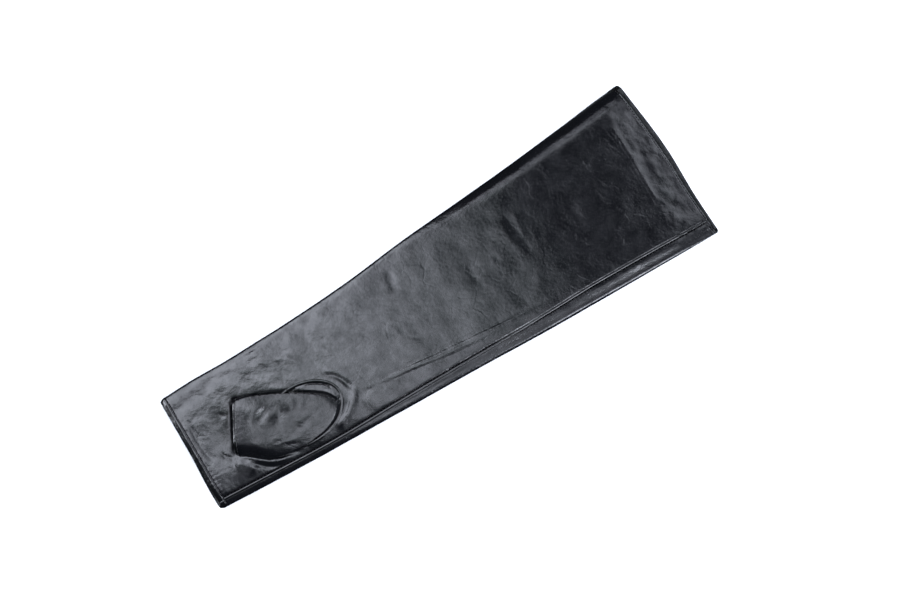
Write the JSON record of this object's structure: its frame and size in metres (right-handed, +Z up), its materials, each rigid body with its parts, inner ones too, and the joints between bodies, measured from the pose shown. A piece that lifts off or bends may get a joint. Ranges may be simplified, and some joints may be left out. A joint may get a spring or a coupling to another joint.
{
  "type": "long fingerless leather glove",
  "caption": "Long black leather glove without fingers: an open tube for the hand and forearm with a short open thumb, lying flat with the palm up.",
  "frame": {"origin": "middle of the underside, on the surface that the glove lies on", "axes": "+X along the glove from the fingers to the upper arm, +Y across it towards the plain folded edge, +Z up out of the palm"},
  "size_m": [0.4073, 0.1333, 0.0187],
  "materials": {
    "nappa_leather": "smooth black nappa with a soft bluish sheen and fine creases",
    "turned_edge": "the same leather turned and stitched, slightly duller along the folds"
  },
  "bodies": {
    "root": {"sleeve": "nappa_leather", "side_seam": "turned_edge", "hand_hem": "turned_edge", "arm_hem": "turned_edge", "thumb": "nappa_leather", "thumb_hem": "turned_edge", "thumb_hole_rim": "turned_edge"}
  },
  "joints": []
}
